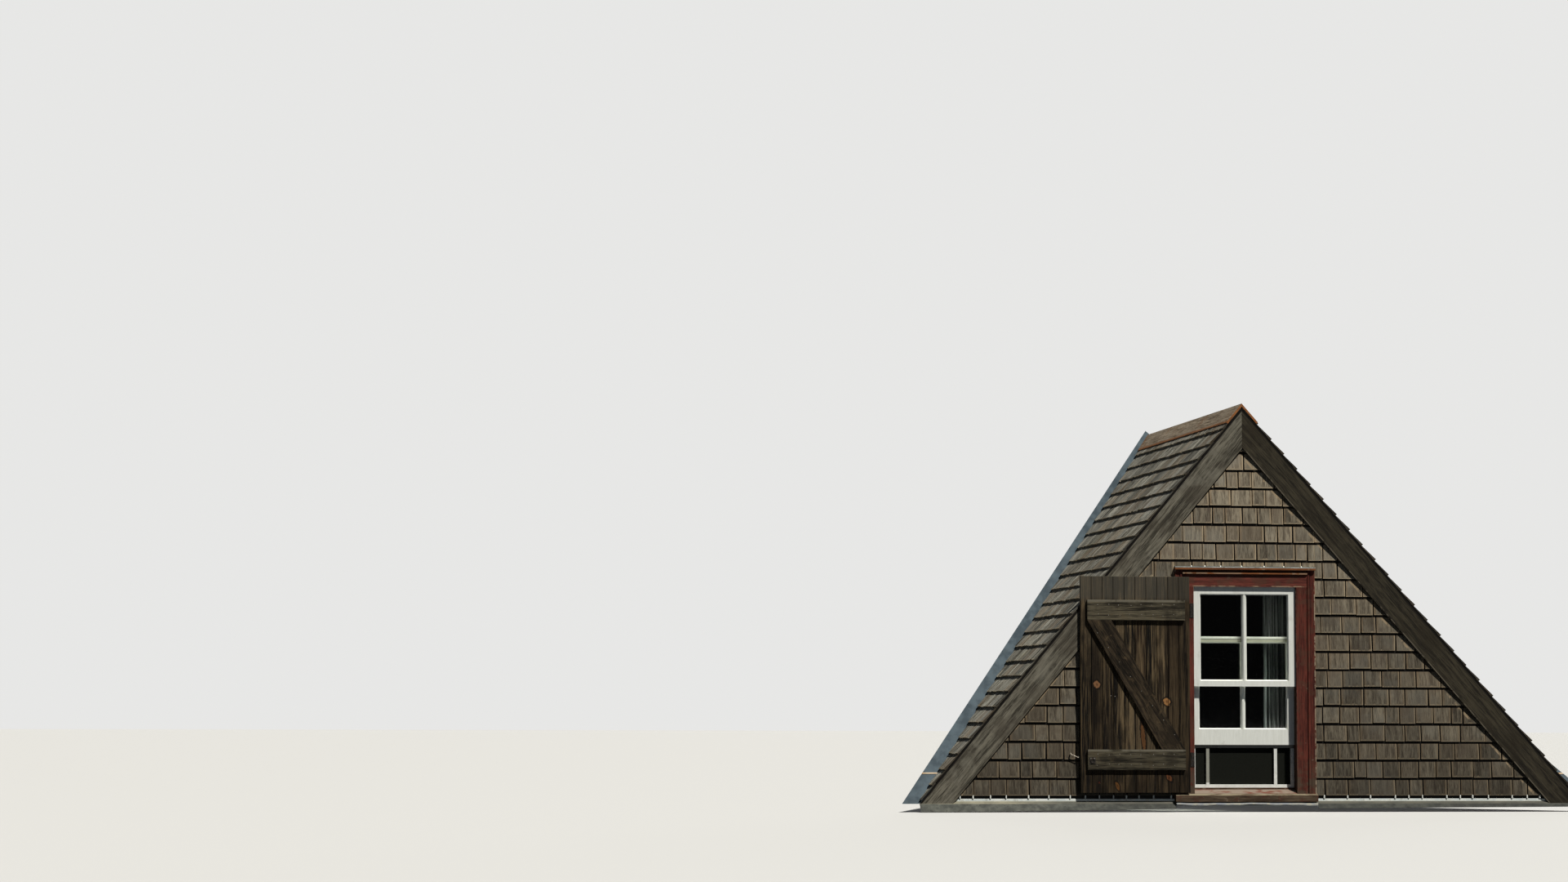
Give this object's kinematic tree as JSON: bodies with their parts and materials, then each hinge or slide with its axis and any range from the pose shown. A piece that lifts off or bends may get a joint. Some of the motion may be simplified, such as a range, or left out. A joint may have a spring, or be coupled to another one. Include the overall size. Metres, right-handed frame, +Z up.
{
  "type": "dormer window",
  "caption": "Gabled dormer with shingled walls and steep shingled roof slopes, metal valleys, a double-hung window and a board shutter hinged on its left casing.",
  "frame": {"origin": "middle of the bottom plate's underside, which lies on the main roof's boarding", "axes": "+X to the right seen from outside, +Y horizontally into the building, +Z up"},
  "size_m": [5.0148, 2.9165, 2.9029],
  "materials": {
    "roof_shingle": "weathered",
    "wall_shingle": "weathered",
    "framing": "rough sawn",
    "boarding": "rough sawn",
    "rake_board": "dark weathered stain",
    "worn_red_trim": "worn red stain",
    "dark_trim": "worn stain",
    "ridge_cap": "weathered",
    "sash_paint": "white paint",
    "flashing": "weathered slate blue",
    "apron_metal": "dirty pale metal",
    "glass": "clear",
    "screen_bars": "white",
    "mesh": "woven",
    "curtain": "gathered",
    "rod": "white",
    "shutter_wood": "weathered",
    "hinge_iron": "black",
    "hook_wire": "galvanised wire",
    "eye_metal": "worn"
  },
  "bodies": {
    "dormer": {"bottom_plate": "framing", "studs_left": "framing", "studs_right": "framing", "window_header": "framing", "gable_studs": "framing", "wall_sheathing_left": "boarding", "wall_sheathing_right": "boarding", "wall_sheathing_top": "boarding", "wall_sheathing_sill": "boarding", "wall_shingles_left": "wall_shingle", "wall_shingles_right": "wall_shingle", "wall_shingles_top": "wall_shingle", "ridge_board": "framing", "rafters_left": "framing", "rafters_right": "framing", "valley_board_left": "framing", "valley_board_right": "framing", "roof_deck_left": "boarding", "roof_deck_right": "boarding", "roof_shingles_left": "roof_shingle", "roof_shingles_right": "roof_shingle", "ridge_cap_left": "ridge_cap", "ridge_cap_right": "ridge_cap", "valley_flashing_left": "flashing", "valley_flashing_right": "flashing", "rake_board_left": "rake_board", "rake_board_right": "rake_board", "apron_flashing": "apron_metal", "window_sill": "worn_red_trim", "casing_left": "worn_red_trim", "casing_right": "worn_red_trim", "head_casing": "worn_red_trim", "head_moulding": "dark_trim", "head_flashing": "apron_metal", "jamb_left": "dark_trim", "jamb_right": "dark_trim", "head_jamb": "dark_trim", "sash_upper": "sash_paint", "glass_upper": "glass", "sash_lower": "sash_paint", "glass_lower": "glass", "screen_frame": "screen_bars", "screen_mesh": "mesh", "curtain_rod": "rod", "curtain": "curtain", "hinge_pins": "hinge_iron", "shutter_hook": "hook_wire"},
    "shutter": {"shutter_boards": "shutter_wood", "shutter_battens": "shutter_wood", "shutter_brace": "shutter_wood", "hinge_leaves": "hinge_iron", "shutter_eye": "eye_metal"}
  },
  "joints": [
    {"name": "shutter_swing", "type": "hinge", "parent": "dormer", "child": "shutter", "pos_m": [-0.3855, -0.10179, 0.25771], "axis": [0, 0, 1], "range_deg": [0, 180]}
  ]
}
